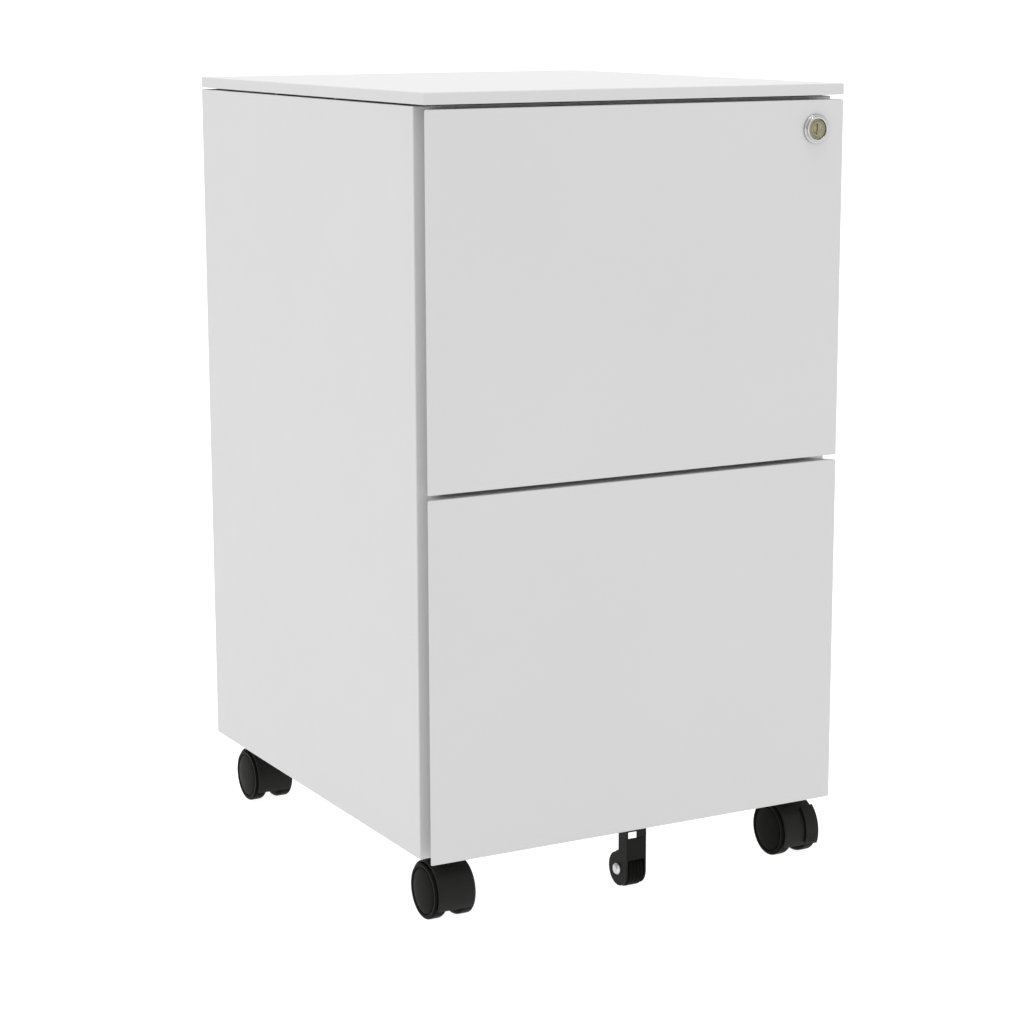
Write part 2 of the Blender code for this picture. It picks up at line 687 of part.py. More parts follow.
def make_caster(corner, place):
    """A castor: threaded stem, swivelling hood, axle and two wheels."""
    stem = Vector((place.x, place.y, 0))
    axle = stem + Vector((0, -CASTER_TRAIL, AXLE_Z))
    swivel = joint("caster_swivel_" + corner, stem + Vector((0, 0, AXLE_Z)))
    pin_end = AXLE_Z + PIN_END
    under_base = BASE_Z - SHEET - CONTACT
    profile = [
        (0, BASE_Z + STEM_ABOVE),
        (STEM_RADIUS, BASE_Z + STEM_ABOVE),
        (STEM_RADIUS, under_base),
        (COLLAR_RADIUS, under_base),
        (COLLAR_RADIUS, NECK_Z + CONTACT),
        (PIN_RADIUS, NECK_Z + CONTACT),
        (PIN_RADIUS, pin_end + CONTACT),
        (0, pin_end + CONTACT),
    ]
    piece(turned("caster_stem_" + corner, profile, "Z", stem, steps=16), "zinc_steel")

    outer_face = WHEEL_SPACING / 2 + WHEEL_WIDTH / 2
    inner_face = WHEEL_SPACING / 2 - WHEEL_WIDTH / 2
    half = outer_face - HOOD_SETBACK
    hood = cylinder("caster_hood_" + corner, HOOD_RADIUS, "X", axle, 2 * half, 32)
    neck_low = AXLE_Z + NECK_RISE
    neck = cylinder(
        "join_neck_" + corner,
        NECK_RADIUS,
        "Z",
        stem + Vector((0, 0, (neck_low + NECK_Z) / 2)),
        NECK_Z - neck_low,
        20,
    )
    cut(hood, neck, "UNION")
    pocket = WHEEL_WIDTH + 2 * CONTACT
    for side, sign in SIDES.items():
        middle = axle + Vector((sign * (inner_face - CONTACT + pocket / 2), 0, 0))
        name = "_".join(("cut_wheel", corner, side))
        cut(hood, cylinder(name, WHEEL_RADIUS + HOOD_CLEARANCE, "X", middle, pocket, 32))
    low = axle + Vector((-2 * half, -2 * HOOD_RADIUS, -2 * AXLE_Z))
    high = Vector((axle.x + 2 * half, axle.y + 2 * HOOD_RADIUS, HOOD_LIFT))
    cut(hood, box("cut_under_" + corner, low, high))
    low = axle + Vector((-2 * half, HOOD_REAR[0], -2 * AXLE_Z))
    high = axle + Vector((2 * half, 2 * HOOD_RADIUS, -HOOD_REAR[1]))
    cut(hood, box("cut_rear_" + corner, low, high))
    length = NECK_Z - pin_end
    middle = stem + Vector((0, 0, pin_end + length))
    name = "cut_pin_" + corner
    cut(hood, cylinder(name, PIN_RADIUS + CONTACT, "Z", middle, 2 * length, 16))
    name = "cut_axle_" + corner
    cut(hood, cylinder(name, AXLE_RADIUS + CONTACT, "X", axle, 2 * half, 12))
    piece(hood, "black_plastic", swivel)

    pin = cylinder("caster_axle_" + corner, AXLE_RADIUS, "X", axle, 2 * outer_face, 12)
    piece(pin, "zinc_steel", swivel)
    for side, sign in SIDES.items():
        middle = axle + Vector((sign * WHEEL_SPACING / 2, 0, 0))
        name = "_".join(("caster_wheel", corner, side))
        hub = joint(name + "_hub", middle, swivel)
        make_wheel(name, WHEEL_RADIUS, WHEEL_WIDTH, middle, hub)


def make_brake(corner, place):
    """The lever on a castor's hood, which turns about the castor's axle."""
    axle = Vector((place.x, place.y - CASTER_TRAIL, AXLE_Z))
    middle = (axle.y, axle.z)
    inside = HOOD_RADIUS + CONTACT
    low, high = pi - BRAKE_LOW, pi - BRAKE_HIGH
    outline = arc(middle, inside, low, high, 12) + arc(middle, inside + BRAKE_WALL, high, low, 12)
    end = axle.x + WHEEL_SPACING / 2 + WHEEL_WIDTH / 2 - HOOD_SETBACK
    pivot = joint("brake_pivot", axle, bpy.data.objects["caster_swivel_" + corner])
    lever = extrusion("brake_lever", outline, "X", end - BRAKE_WIDTH, end)
    piece(lever, "black_plastic", pivot)


def main():
    """Build the whole cabinet, closed and unlocked."""
    make_top()
    make_case()
    middles, drawers = {}, {}
    for level in FRONT_Z:
        start = (0, SLIDE_Y, FRONT_Z[level] + TRAY_RISE + SLIDE_RISE)
        middles[level] = joint("slide_middle_" + level, start)
        drawers[level] = joint("drawer_slide_" + level, start)
    for side, sign in SIDES.items():
        make_side(side, sign)
        make_posts(side, sign)
        for level in FRONT_Z:
            make_slide(level, side, sign, middles[level], drawers[level])
    for level in FRONT_Z:
        make_drawer(level, drawers[level])
    make_lock(drawers["upper"], joint("lock_turn", LOCK, drawers["upper"]))
    make_lock_bar(joint("lock_bar_slide", (BAR_X, CAM_Y, LOCK.z)), drawers["lower"])
    axle = (0, STABILISER_Y, STABILISER_LIFT + STABILISER_RADIUS)
    make_stabiliser(drawers["lower"], joint("stabiliser_hub", axle, drawers["lower"]))
    for corner, place in CASTERS.items():
        make_caster(corner, place)
    make_brake("front_right", CASTERS["front_right"])
    bpy.context.view_layer.update()


clear_scene()
PARTS = new_collection("filing_cabinet")
CUTTERS = new_collection("cutters")
MATERIALS = {name: new_material(name) for name in FINISHES}
CASTERS = {
    end + "_" + side: Vector((sign * (SIDE_X - CASTER_INSET), y, 0))
    for end, y in (("front", CASE_Y + CASTER_FRONT_INSET), ("rear", BACK_Y - CASTER_REAR_INSET))
    for side, sign in SIDES.items()
}
main()
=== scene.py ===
"""Looks of a two-drawer steel filing pedestal on castors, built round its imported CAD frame.

The file is laid out as a Blender add-on and run as a script. Lengths are metres. The
drawers face -Y, +Z is up, and each piece's place is in its mesh.
"""

import json
import sys
from math import asin, cos, pi, radians, sin

import bmesh
import bpy
from bpy.props import FloatProperty, FloatVectorProperty, IntProperty, PointerProperty
from mathutils import Matrix, Vector
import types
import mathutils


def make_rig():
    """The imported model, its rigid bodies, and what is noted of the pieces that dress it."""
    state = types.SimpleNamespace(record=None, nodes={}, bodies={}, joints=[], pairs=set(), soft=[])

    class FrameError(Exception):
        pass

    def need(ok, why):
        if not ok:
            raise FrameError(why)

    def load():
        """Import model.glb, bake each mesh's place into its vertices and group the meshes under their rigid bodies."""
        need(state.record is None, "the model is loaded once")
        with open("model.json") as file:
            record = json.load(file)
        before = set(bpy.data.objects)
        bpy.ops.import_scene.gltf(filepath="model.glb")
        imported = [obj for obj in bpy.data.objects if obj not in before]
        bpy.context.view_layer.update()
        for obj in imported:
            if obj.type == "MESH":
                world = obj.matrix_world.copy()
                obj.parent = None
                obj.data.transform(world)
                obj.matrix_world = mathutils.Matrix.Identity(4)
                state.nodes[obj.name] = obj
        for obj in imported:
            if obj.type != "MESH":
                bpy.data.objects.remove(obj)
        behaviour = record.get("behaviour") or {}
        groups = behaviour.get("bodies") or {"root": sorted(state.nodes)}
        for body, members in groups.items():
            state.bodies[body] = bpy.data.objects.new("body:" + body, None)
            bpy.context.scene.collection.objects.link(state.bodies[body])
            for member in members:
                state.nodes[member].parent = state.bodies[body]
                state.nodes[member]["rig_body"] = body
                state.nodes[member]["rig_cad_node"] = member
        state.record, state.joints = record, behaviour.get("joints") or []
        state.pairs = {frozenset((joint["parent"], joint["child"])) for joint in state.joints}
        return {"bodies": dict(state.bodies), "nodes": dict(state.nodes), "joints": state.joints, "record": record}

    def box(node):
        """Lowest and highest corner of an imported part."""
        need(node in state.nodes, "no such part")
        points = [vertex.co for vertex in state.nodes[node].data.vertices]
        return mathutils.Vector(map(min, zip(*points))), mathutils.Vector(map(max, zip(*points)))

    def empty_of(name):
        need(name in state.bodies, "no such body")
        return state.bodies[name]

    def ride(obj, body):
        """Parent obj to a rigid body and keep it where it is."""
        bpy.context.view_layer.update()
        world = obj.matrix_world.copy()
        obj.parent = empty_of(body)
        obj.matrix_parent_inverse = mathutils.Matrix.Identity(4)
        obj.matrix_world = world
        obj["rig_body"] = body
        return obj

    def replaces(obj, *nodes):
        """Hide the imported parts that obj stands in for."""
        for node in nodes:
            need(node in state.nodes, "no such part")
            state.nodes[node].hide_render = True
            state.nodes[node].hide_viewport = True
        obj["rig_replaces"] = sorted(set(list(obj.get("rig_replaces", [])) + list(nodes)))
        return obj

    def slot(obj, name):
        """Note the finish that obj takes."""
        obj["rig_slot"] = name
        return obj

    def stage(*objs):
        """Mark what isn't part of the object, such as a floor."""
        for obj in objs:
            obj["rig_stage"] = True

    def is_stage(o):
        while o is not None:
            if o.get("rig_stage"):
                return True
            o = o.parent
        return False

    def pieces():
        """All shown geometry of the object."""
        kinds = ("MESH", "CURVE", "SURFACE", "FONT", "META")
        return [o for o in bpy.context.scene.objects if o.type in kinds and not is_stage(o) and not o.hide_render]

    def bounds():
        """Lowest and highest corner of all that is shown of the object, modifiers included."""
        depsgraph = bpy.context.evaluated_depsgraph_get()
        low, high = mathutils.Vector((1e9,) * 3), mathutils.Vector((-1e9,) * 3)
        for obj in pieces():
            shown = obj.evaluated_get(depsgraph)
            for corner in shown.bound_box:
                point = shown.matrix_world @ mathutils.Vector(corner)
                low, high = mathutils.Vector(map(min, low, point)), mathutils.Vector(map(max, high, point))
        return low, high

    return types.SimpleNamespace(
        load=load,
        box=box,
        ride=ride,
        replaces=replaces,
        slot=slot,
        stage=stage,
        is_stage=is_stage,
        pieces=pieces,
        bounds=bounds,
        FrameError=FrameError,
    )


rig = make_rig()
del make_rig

bl_info = {
    "name": "Filing Cabinet Pieces",
    "version": (1, 0, 0),
    "blender": (4, 5, 0),
    "location": "View3D > Sidebar > Cabinet",
    "description": "Folded panels, drawers, slides, lock and castors of a steel filing pedestal",
    "category": "Object",
}

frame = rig.load()
CAD_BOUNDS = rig.bounds()
MERGE = 1e-5  # points of a CAD mesh this close are one
WELD = 1e-6  # and those of a new shape
FLAT = 0.001  # turn between two faces, in radians, that counts as none
CLEARANCE = 0.0003  # left between pieces that touch

LEVELS = ("upper", "lower")
SIDES = {"left": -1, "right": 1}
CORNERS = ("front_left", "front_right", "rear_left", "rear_right")
X, Y, Z = 0, 1, 2
AXIS_TURNS = {
    X: Matrix.Rotation(pi / 2, 4, "Z") @ Matrix.Rotation(pi / 2, 4, "X"),
    Y: Matrix.Rotation(pi / 2, 4, "X"),
    Z: Matrix.Identity(4),
}


# ---------------------------------------------------------------- settings


class SheetSettings(bpy.types.PropertyGroup):
    """Sizes and colour of the folded sheet."""

    wall: FloatProperty(
        name="Wall", description="Thickness of the sheet", default=0.0008, unit="LENGTH"
    )
    fold: FloatProperty(
        name="Fold", description="Radius outside a fold of a panel", default=0.0010, unit="LENGTH"
    )
    front_fold: FloatProperty(
        name="Front fold",
        description="Radius outside a fold of a drawer front",
        default=0.0012,
        unit="LENGTH",
    )
    hem: FloatProperty(
        name="Hem", description="Radius of the rolled rim of a tray", default=0.0014, unit="LENGTH"
    )
    paint: FloatVectorProperty(
        name="Paint",
        description="Colour of the powder coat",
        default=(0.515, 0.515, 0.515),
        subtype="COLOR",
        size=3,
    )


class CastorSettings(bpy.types.PropertyGroup):
    """Sizes and colours of the castors and the stabilising wheel."""

    hood_wall: FloatProperty(
        name="Hood wall", description="Thickness of a hood", default=0.0012, unit="LENGTH"
    )
    hood_edge: FloatProperty(
        name="Hood edge",
        description="Rounding of a hood's side edges",
        default=0.0014,
        unit="LENGTH",
    )
    plastic: FloatVectorProperty(
        name="Plastic",
        description="Colour of the hoods and wheels",
        default=(0.0075, 0.0075, 0.0064),
        subtype="COLOR",
        size=3,
    )


class LockSettings(bpy.types.PropertyGroup):
    """Sizes of the cam lock."""

    keyway_width: FloatProperty(
        name="Keyway width", description="Width of the keyway", default=0.0018, unit="LENGTH"
    )
    keyway_height: FloatProperty(
        name="Keyway height", description="Height of the keyway", default=0.0092, unit="LENGTH"
    )
    keyway_depth: FloatProperty(
        name="Keyway depth", description="Depth of the keyway", default=0.006, unit="LENGTH"
    )


class FixingSettings(bpy.types.PropertyGroup):
    """Sizes and numbers of the small parts that repeat."""

    rivet_radius: FloatProperty(
        name="Rivet radius", description="Radius of a rivet's head", default=0.0032, unit="LENGTH"
    )
    rivets: IntProperty(
        name="Rivets", description="Rivets down each edge of the back", default=5, min=2
    )
    ball_radius: FloatProperty(
        name="Ball radius", description="Radius of a slide's balls", default=0.00062, unit="LENGTH"
    )
    balls: IntProperty(name="Balls", description="Balls in each row of a slide", default=36, min=2)
    buffer_radius: FloatProperty(
        name="Buffer radius",
        description="Radius of a rubber buffer behind the fronts",
        default=0.0035,
        unit="LENGTH",
    )
    slots: IntProperty(
        name="Slots", description="Divider slots along each tray's floor", default=14, min=2
    )


SETTINGS = {
    "cabinet_sheet": SheetSettings,
    "cabinet_castors": CastorSettings,
    "cabinet_lock": LockSettings,
    "cabinet_fixings": FixingSettings,
}


def setting(group):
    """The settings of one group, such as sheet or lock."""
    return getattr(bpy.context.scene, "cabinet_" + group)


# ---------------------------------------------------------------- node trees


class Value:
    """A node's output, whose Python operators add Math nodes."""

    def __init__(self, graph, socket):
        self.graph = graph
        self.socket = socket

    def math(self, operation, *values):
        """A Math node on these values."""
        inputs = dict(enumerate(values))
        return self.graph.node("ShaderNodeMath", {"operation": operation}, inputs)

    def __add__(self, other):
        return self.math("ADD", self, other)

    __radd__ = __add__

    def __mul__(self, other):
        return self.math("MULTIPLY", self, other)

    __rmul__ = __mul__

    def __truediv__(self, other):
        return self.math("DIVIDE", self, other)

    def __pow__(self, other):
        return self.math("POWER", self, other)


class Graph:
    """A node tree that is filled by one method."""

    def __init__(self, tree):
        self.tree = tree

    def node(self, kind, settings=None, values=None, output=0):
        """Add a node. Its settings come first, then a value or a link for each input."""
        node = self.tree.nodes.new(kind)
        for name, value in (settings or {}).items():
            setattr(node, name, value)
        for name, value in (values or {}).items():
            self.feed(node.inputs[name], value)
        return Value(self, node.outputs[output])

    def feed(self, socket, value):
        """Link a value to a socket, or set it there."""
        if isinstance(value, Value):
            self.tree.links.new(value.socket, socket)
        else:
            socket.default_value = value


class Finish(Graph):
    """A material: a Principled shader and what feeds it."""

    def __init__(self, name):
        self.material = bpy.data.materials.new(name)
        self.material.use_nodes = True
        super().__init__(self.material.node_tree)
        self.shader = self.tree.nodes["Principled BSDF"]
        self.place = self.node("ShaderNodeTexCoord", output="Object")

    def set(self, **values):
        """Set or link the shader's inputs, given as words joined by underscores."""
        for name, value in values.items():
            self.feed(self.shader.inputs[name.replace("_", " ")], value)
        return self.material

    def noise(self, scale, detail=2.0, stretch=(1, 1, 1), roughness=0.5):
        """Noise from 0 to 1 on the piece's own place, finer as the scale grows."""
        place = self.node("ShaderNodeMapping", None, {"Vector": self.place, "Scale": stretch})
        values = {"Vector": place, "Scale": scale, "Detail": detail, "Roughness": roughness}
        return self.node("ShaderNodeTexNoise", {"noise_dimensions": "3D"}, values)

    def cells(self, scale):
        """A random shade in each cell of a Voronoi pattern."""
        values = {"Vector": self.place, "Scale": scale}
        colour = self.node("ShaderNodeTexVoronoi", None, values, "Color")
        return self.node("ShaderNodeSeparateColor", None, {0: colour})

    def mix(self, factor, dark, light):
        """A colour between two, by a factor from 0 to 1."""
        values = {0: factor, 6: (*dark, 1), 7: (*light, 1)}
        return self.node("ShaderNodeMix", {"data_type": "RGBA"}, values, 2)

    def bump(self, height, strength, distance):
        """A normal from a height."""
        values = {"Height": height, "Strength": strength, "Distance": distance}
        return self.node("ShaderNodeBump", None, values)


def shade(colour, factor):
    """A colour made lighter or darker, as a tuple."""
    return tuple(min(1.0, channel * factor) for channel in colour)


# ---------------------------------------------------------------- finishes


def powder_coat():
    """Light grey powder coat: a faint orange peel, and a roughness that wanders a little."""
    finish = Finish("powder_coat")
    paint = tuple(setting("sheet").paint)
    broad = finish.noise(5, 3)
    peel = finish.noise(620, 1.5)
    grit = finish.noise(2400, 1)
    tint = broad * 0.6 + grit * 0.4
    return finish.set(
        Base_Color=finish.mix(tint, shade(paint, 0.975), shade(paint, 1.025)),
        Roughness=0.40 + 0.10 * finish.noise(30, 2) + 0.06 * grit,
        Normal=finish.bump(peel * 0.8 + grit * 0.2, 0.10, 0.0002),
        Specular_IOR_Level=0.42,
    )


def zinc_plate():
    """Bright zinc on steel strip: faint spangle, rolled along the slides, and fine scratches."""
    finish = Finish("zinc_plate")
    spangle = finish.cells(240)
    streak = finish.noise(260, 3, (6, 0.15, 6))
    tint = spangle * 0.5 + streak * 0.5
    return finish.set(
        Base_Color=finish.mix(tint, (0.55, 0.56, 0.57), (0.66, 0.67, 0.68)),
        Metallic=1.0,
        Roughness=0.24 + 0.16 * streak + 0.08 * spangle,
        Normal=finish.bump(streak, 0.12, 0.0002),
    )


def chrome_plate():
    """Polished chrome with a trace of handling marks in its roughness. Its colour is darkened below bare chrome, in
    patches, as a painted reflection of dark studio surroundings.
    """
    finish = Finish("chrome_plate")
    marks = finish.noise(220, 4)
    return finish.set(
        # painted reflection: the colour runs darker than bare chrome, in noise patches, standing in for dark studio
        # reflections; the same noise varies the roughness as handling marks
        Base_Color=finish.mix(marks, (0.36, 0.36, 0.37), (0.54, 0.54, 0.55)),
        Metallic=1.0,
        Roughness=0.07 + 0.10 * marks,
    )


def dull_brass():
    """The lock plug's dull brass, with fine turning marks."""
    finish = Finish("dull_brass")
    marks = finish.noise(1500, 2, (1, 0.2, 1))
    stain = finish.noise(160, 3)
    return finish.set(
        Base_Color=finish.mix(stain, (0.20, 0.185, 0.115), (0.34, 0.315, 0.205)),
        Metallic=1.0,
        Roughness=0.30 + 0.18 * marks,
        Normal=finish.bump(marks, 0.15, 0.0001),
    )


def black_nylon():
    """Moulded black nylon with a fine spark-eroded grain."""
    finish = Finish("black_nylon")
    plastic = tuple(setting("castors").plastic)
    grain = finish.noise(2600, 2)
    broad = finish.noise(70, 3)
    return finish.set(
        Base_Color=finish.mix(broad, shade(plastic, 0.8), shade(plastic, 1.25)),
        Roughness=0.34 + 0.16 * grain + 0.08 * broad,
        Normal=finish.bump(grain, 0.18, 0.0002),
        Specular_IOR_Level=0.15,
    )


def tyre_nylon():
    """The wheels' harder nylon, greyed by dust that the floor leaves on it."""
    finish = Finish("tyre_nylon")
    plastic = tuple(setting("castors").plastic)
    dust = finish.noise(130, 5, (1, 1, 1), 0.65)
    scuff = finish.noise(900, 2, (0.4, 1, 1))
    return finish.set(
        Base_Color=finish.mix(dust ** 2, shade(plastic, 0.45), shade(plastic, 1.0)),
        Roughness=0.24 + 0.22 * dust,
        Normal=finish.bump(scuff, 0.15, 0.0002),
        Specular_IOR_Level=0.02,
    )


def black_coat():
    """Black dipped coat on the stabiliser's bracket."""
    finish = Finish("black_coat")
    peel = finish.noise(800, 2)
    broad = finish.noise(90, 3)
    return finish.set(
        Base_Color=finish.mix(broad, (0.0065, 0.0065, 0.0055), (0.011, 0.011, 0.0095)),
        Roughness=0.36 + 0.14 * broad,
        Normal=finish.bump(peel, 0.15, 0.0002),
        Specular_IOR_Level=0.06,
    )


def buffer_rubber():
    """Soft grey rubber of the buffers."""
    finish = Finish("buffer_rubber")
    grain = finish.noise(1800, 2)
    return finish.set(
        Base_Color=finish.mix(grain, (0.10, 0.10, 0.10), (0.16, 0.16, 0.16)),
        Roughness=0.62 + 0.15 * grain,
        Normal=finish.bump(grain, 0.2, 0.0002),
    )


def studio_floor():
    """The pale floor, lit from within a little so that shadows on it stay faint."""
    finish = Finish("studio_floor")
    return finish.set(
        Base_Color=(0.30, 0.30, 0.30, 1),
        Roughness=0.9,
        Specular_IOR_Level=0.1,
        Emission_Color=(1, 1, 1, 1),
        Emission_Strength=0.95,
    )


# name of a finish: the record's material slot that it paints
SLOTS = {
    "powder_coat": "painted_steel",
    "zinc_plate": "zinc_steel",
    "chrome_plate": "lock_chrome",
    "dull_brass": "lock_brass",
    "black_nylon": "caster_plastic",
    "tyre_nylon": "wheel_nylon",
    "black_coat": "black_steel",
    "buffer_rubber": "caster_plastic",
}


def coated(name):
    """The finish of this name, made once."""
    return bpy.data.materials.get(name) or globals()[name]()


# ---------------------------------------------------------------- shapes


def baked(obj):
    """The mesh of an object with its modifiers applied. The object is removed."""
    bpy.context.view_layer.update()
    graph = bpy.context.evaluated_depsgraph_get()
    mesh = bpy.data.meshes.new_from_object(obj.evaluated_get(graph))
    bpy.data.objects.remove(obj)
    return mesh


def modify(obj, kind, **settings):
    """Add a modifier with its settings."""
    modifier = obj.modifiers.new(kind.lower(), kind)
    for name, value in settings.items():
        setattr(modifier, name, value)
    return modifier


def draft(mesh):
    """A linked object for a mesh or curve that still needs work."""
    obj = bpy.data.objects.new("draft", mesh)
    bpy.context.scene.collection.objects.link(obj)
    return obj


def made(shape):
    """The mesh of a closed bmesh, its faces turned outwards. The bmesh is freed."""
    mesh = bpy.data.meshes.new("shape")
    bmesh.ops.recalc_face_normals(shape, faces=shape.faces)
    if shape.calc_volume(signed=True) < 0:
        bmesh.ops.reverse_faces(shape, faces=shape.faces)
    shape.to_mesh(mesh)
    shape.free()
    return mesh


def smoothed(mesh, edge=0.0, sharp=35):
    """A mesh with its sharp edges rounded and its flat faces shaded flat."""
    obj = draft(mesh)
    if edge:
        modify(
            obj,
            "BEVEL",
            width=edge,
            segments=2,
            limit_method="ANGLE",
            angle_limit=radians(sharp),
        )
    mesh = baked(obj)
    mesh.shade_smooth()
    mesh.set_sharp_from_angle(angle=radians(sharp))
    obj = draft(mesh)
    modify(obj, "WEIGHTED_NORMAL", weight=90, keep_sharp=True)
    return baked(obj)


def piece(name, mesh, finish, body, *nodes):
    """A finished piece that rides on a CAD body and stands for CAD nodes."""
    mesh.name = name
    mesh.materials.clear()
    mesh.materials.append(coated(finish))
    obj = bpy.data.objects.new(name, mesh)
    bpy.context.scene.collection.objects.link(obj)
    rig.ride(obj, body)
    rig.slot(obj, SLOTS[finish])
    if nodes:
        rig.replaces(obj, *nodes)


def block(low, high):
    """A bmesh box between two corners."""
    shape = bmesh.new()
    bmesh.ops.create_cube(shape, size=1)
    for vert in shape.verts:
        vert.co = [high[i] if vert.co[i] > 0 else low[i] for i in range(3)]
    return shape


def pan(low, high, mouth, radius, lean=0.0):
    """A folded pan, open towards mouth, an axis and its sign. lean narrows its back."""
    axis, sign = mouth
    shape = block(low, high)
    middle = (low[X] + high[X]) / 2
    for vert in shape.verts:
        if lean and vert.co.y > low[Y] + WELD:
            vert.co.x += lean if vert.co.x < middle else -lean
    shape.normal_update()
    open_faces = [face for face in shape.faces if face.normal[axis] * sign > 0.9]
    bmesh.ops.delete(shape, geom=open_faces, context="FACES_ONLY")
    folds = [edge for edge in shape.edges if len(edge.link_faces) == 2]
    bmesh.ops.bevel(
        shape, geom=folds, offset=radius, segments=4, profile=0.5, affect="EDGES"
    )
    mesh = bpy.data.meshes.new("pan")
    shape.to_mesh(mesh)
    shape.free()
    wall = setting("sheet").wall
    obj = draft(mesh)
    modify(obj, "SOLIDIFY", thickness=wall, offset=-1, use_even_offset=True)
    return smoothed(baked(obj), wall * 0.3, sharp=60)


def turned(profile, axis, place, steps=72, closed=False):
    """A turned mesh about an axis, from (radius, along) points."""
    shape = bmesh.new()
    verts = [shape.verts.new((radius, 0, along)) for radius, along in profile]
    ends = verts[1:] + verts[:1] if closed else verts[1:]
    edges = [shape.edges.new(pair) for pair in zip(verts, ends)]
    bmesh.ops.spin(
        shape,
        geom=verts + edges,
        cent=(0, 0, 0),
        axis=(0, 0, 1),
        angle=2 * pi,
        steps=steps,
        use_merge=True,
    )
    bmesh.ops.remove_doubles(shape, verts=shape.verts, dist=WELD)
    turn = {X: Matrix.Rotation(pi / 2, 4, "Y"), Y: Matrix.Rotation(-pi / 2, 4, "X")}
    shape.transform(Matrix.Translation(place) @ turn.get(axis, Matrix.Identity(4)))
    return made(shape)


def plate(outline, axis, start, end):
    """A flat outline, drawn across an axis, run along it."""
    curve = bpy.data.curves.new("outline", "CURVE")
    curve.dimensions = "2D"
    curve.fill_mode = "BOTH"
    curve.extrude = (end - start) / 2
    spline = curve.splines.new("POLY")
    spline.points.add(len(outline) - 1)
    spline.use_cyclic_u = True
    for point, (across, up) in zip(spline.points, outline):
        point.co = (across, up, 0, 1)
    mesh = baked(draft(curve))
    shape = bmesh.new()
    shape.from_mesh(mesh)
    bmesh.ops.remove_doubles(shape, verts=shape.verts, dist=WELD)
    bmesh.ops.dissolve_limit(shape, angle_limit=FLAT, verts=shape.verts, edges=shape.edges)
    along = Vector((0, 0, 0))
    along[axis] = (start + end) / 2
    shape.transform(Matrix.Translation(along) @ AXIS_TURNS[axis])
    return made(shape)


def rod(axis, middle, radius, length, segments=48):
    """A round bar about its middle."""
    shape = bmesh.new()
    bmesh.ops.create_cone(
        shape, cap_ends=True, segments=segments, radius1=radius, radius2=radius, depth=length
    )
    shape.transform(Matrix.Translation(middle) @ AXIS_TURNS[axis])
    return made(shape)


def cut(mesh, *cutters):
    """A mesh with others taken out of it."""
    obj = draft(mesh)
    tools = [draft(cutter) for cutter in cutters]
    for tool in tools:
        modify(obj, "BOOLEAN", operation="DIFFERENCE", object=tool)
    mesh = baked(obj)
    for tool in tools:
        bpy.data.objects.remove(tool)
    return mesh


def joined(meshes):
    """Several meshes as one."""
    shape = bmesh.new()
    for mesh in meshes:
        shape.from_mesh(mesh)
    mesh = bpy.data.meshes.new("joined")
    shape.to_mesh(mesh)
    shape.free()
    return mesh


def arc(middle, radius, start, end, steps=24):
    """Points round an arc, from one angle to another."""
    angles = [start + (end - start) * step / steps for step in range(steps + 1)]
    return [(middle[0] + radius * cos(a), middle[1] + radius * sin(a)) for a in angles]


def bent_strip(middle, radius, low, high, start, end, edge, steps=48, rounding=4):
    """An open strip round an axis along X, between two angles, its side edges turned in."""
    side = [
        (low + edge * (1 - cos(a)), radius - edge * (1 - sin(a)))
        for a in (pi / 2 * step / rounding for step in range(rounding + 1))
    ]
    row = side + [(low + high - x, r) for x, r in reversed(side)]
    shape = bmesh.new()
    rows = []
    for step in range(steps + 1):
        a = start + (end - start) * step / steps
        points = [(x, middle[0] + r * cos(a), middle[1] + r * sin(a)) for x, r in row]
        rows.append([shape.verts.new(point) for point in points])
    for one, other in zip(rows, rows[1:]):
        for i in range(len(row) - 1):
            shape.faces.new((one[i], one[i + 1], other[i + 1], other[i]))
    shape.normal_update()
    middle_face = shape.faces[:][len(shape.faces) // 2]
    out = middle_face.calc_center_median() - Vector((0, *middle))
    if middle_face.normal.dot(Vector((0, out.y, out.z))) < 0:
        bmesh.ops.reverse_faces(shape, faces=shape.faces)
    mesh = bpy.data.meshes.new("strip")
    shape.to_mesh(mesh)
    shape.free()
    return mesh


def thick(mesh, wall, edge):
    """An open surface given a wall on its inner side, with its edges rounded."""
    obj = draft(mesh)
    modify(obj, "SOLIDIFY", thickness=wall, offset=-1, use_even_offset=True)
    return smoothed(baked(obj), edge, sharp=50)


def centre(node):
    """The middle of a CAD node's box."""
    low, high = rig.box(node)
    return (low + high) / 2


def keep(node, finish, edge=0.0003):
    """Stand a merged copy of a CAD node's shape in for it, with its edges rounded."""
    source = frame["nodes"][node]
    shape = bmesh.new()
    shape.from_mesh(source.data)
    shape.transform(source.matrix_world)
    bmesh.ops.remove_doubles(shape, verts=shape.verts, dist=MERGE)
    facet = radians(1)
    bmesh.ops.dissolve_limit(shape, angle_limit=facet, verts=shape.verts, edges=shape.edges)
    piece(node + "_surface", smoothed(made(shape), edge, 50), finish, body_of(node), node)


def body_of(node):
    """The CAD body that a node belongs to."""
    bodies = frame["record"]["behaviour"]["bodies"]
    return next(body for body, members in bodies.items() if node in members)


# ---------------------------------------------------------------- repeating small parts


